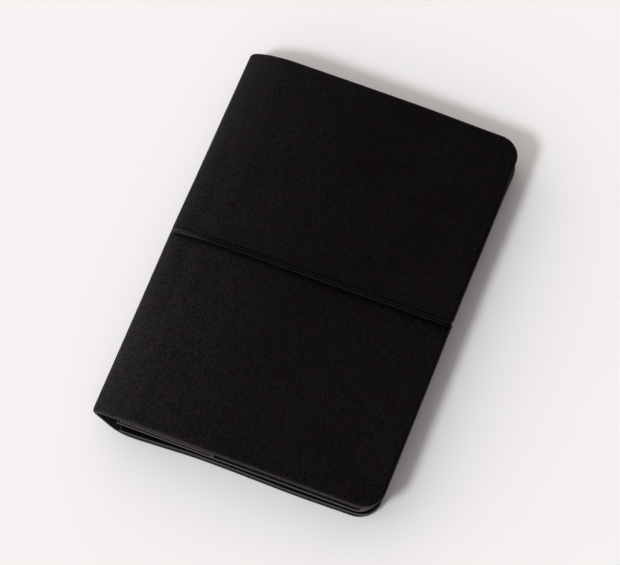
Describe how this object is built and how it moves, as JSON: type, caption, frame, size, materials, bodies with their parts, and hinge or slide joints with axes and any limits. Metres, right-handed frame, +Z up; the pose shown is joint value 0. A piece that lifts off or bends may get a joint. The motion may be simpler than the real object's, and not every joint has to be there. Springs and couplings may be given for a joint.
{
  "type": "pocket notebook",
  "caption": "Pocket notebook: a stapled paper booklet in a wrapped black leather cover with a round elastic closure loop",
  "frame": {"origin": "under the middle of the closed notebook's outline, on the plane it rests on", "axes": "+Z up out of the front cover, +Y from tail to head, +X from spine to fore-edge"},
  "size_m": [0.1064, 0.148, 0.0144],
  "materials": {
    "cover_leather": "fine pebbled grain, satin",
    "lining_leather": "smooth matte",
    "card": "matte black card",
    "paper": "uncoated ivory",
    "staple_wire": "bright drawn wire",
    "elastic": "braided cover, satin",
    "thread": "waxed thread"
  },
  "bodies": {
    "back": {"back_cover": "cover_leather", "rear_sleeve": "lining_leather", "rear_card": "card", "elastic_loop": "elastic"},
    "spine": {"spine_cover": "cover_leather", "card_fold": "card", "sheet_fold": "paper", "staples": "staple_wire"},
    "front": {"front_cover": "cover_leather", "front_sleeve": "lining_leather", "pocket_panel": "lining_leather", "bar_tacks": "thread", "front_card": "card"},
    "leaf_group_1": {"leaves_1": "paper"},
    "leaf_group_2": {"leaves_2": "paper"},
    "leaf_group_3": {"leaves_3": "paper"},
    "leaf_group_4": {"leaves_4": "paper"},
    "leaf_group_5": {"leaves_5": "paper"},
    "leaf_group_6": {"leaves_6": "paper"},
    "leaf_group_7": {"leaves_7": "paper"},
    "leaf_group_8": {"leaves_8": "paper"}
  },
  "joints": [
    {"name": "spine_turn", "type": "hinge", "parent": "back", "child": "spine", "pos_m": [-0.05045, 0, 0.00357], "axis": [0, -1, 0], "range_deg": [0, 90], "deforming": ["spine_cover", "elastic_loop"]},
    {"name": "cover_turn", "type": "hinge", "parent": "spine", "child": "front", "pos_m": [-0.05045, 0, 0.00933], "axis": [0, -1, 0], "range_deg": [0, 90]},
    {"name": "leaf_turn_1", "type": "hinge", "parent": "spine", "child": "leaf_group_1", "pos_m": [-0.0448, 0, 0.006], "axis": [0, -1, 0], "range_deg": [-91.35, 0]},
    {"name": "leaf_turn_2", "type": "hinge", "parent": "spine", "child": "leaf_group_2", "pos_m": [-0.0448, 0, 0.006], "axis": [0, -1, 0], "range_deg": [-88.65, 0]},
    {"name": "leaf_turn_3", "type": "hinge", "parent": "spine", "child": "leaf_group_3", "pos_m": [-0.0448, 0, 0.006], "axis": [0, -1, 0], "range_deg": [-83.7, 0]},
    {"name": "leaf_turn_4", "type": "hinge", "parent": "spine", "child": "leaf_group_4", "pos_m": [-0.0448, 0, 0.006], "axis": [0, -1, 0], "range_deg": [-75.6, 0]},
    {"name": "leaf_turn_5", "type": "hinge", "parent": "spine", "child": "leaf_group_5", "pos_m": [-0.0448, 0, 0.006], "axis": [0, -1, 0], "range_deg": [0, 77.4]},
    {"name": "leaf_turn_6", "type": "hinge", "parent": "spine", "child": "leaf_group_6", "pos_m": [-0.0448, 0, 0.006], "axis": [0, -1, 0], "range_deg": [0, 84.15]},
    {"name": "leaf_turn_7", "type": "hinge", "parent": "spine", "child": "leaf_group_7", "pos_m": [-0.0448, 0, 0.006], "axis": [0, -1, 0], "range_deg": [0, 88.65]},
    {"name": "leaf_turn_8", "type": "hinge", "parent": "spine", "child": "leaf_group_8", "pos_m": [-0.0448, 0, 0.006], "axis": [0, -1, 0], "range_deg": [0, 91.35]}
  ],
  "couplings": [
    {"joint": "cover_turn", "follows": "spine_turn", "ratio": 1},
    {"joint": "leaf_turn_1", "follows": "spine_turn", "ratio": -1.015},
    {"joint": "leaf_turn_2", "follows": "spine_turn", "ratio": -0.985},
    {"joint": "leaf_turn_3", "follows": "spine_turn", "ratio": -0.93},
    {"joint": "leaf_turn_4", "follows": "spine_turn", "ratio": -0.84},
    {"joint": "leaf_turn_5", "follows": "spine_turn", "ratio": 0.86},
    {"joint": "leaf_turn_6", "follows": "spine_turn", "ratio": 0.935},
    {"joint": "leaf_turn_7", "follows": "spine_turn", "ratio": 0.985},
    {"joint": "leaf_turn_8", "follows": "spine_turn", "ratio": 1.015}
  ]
}
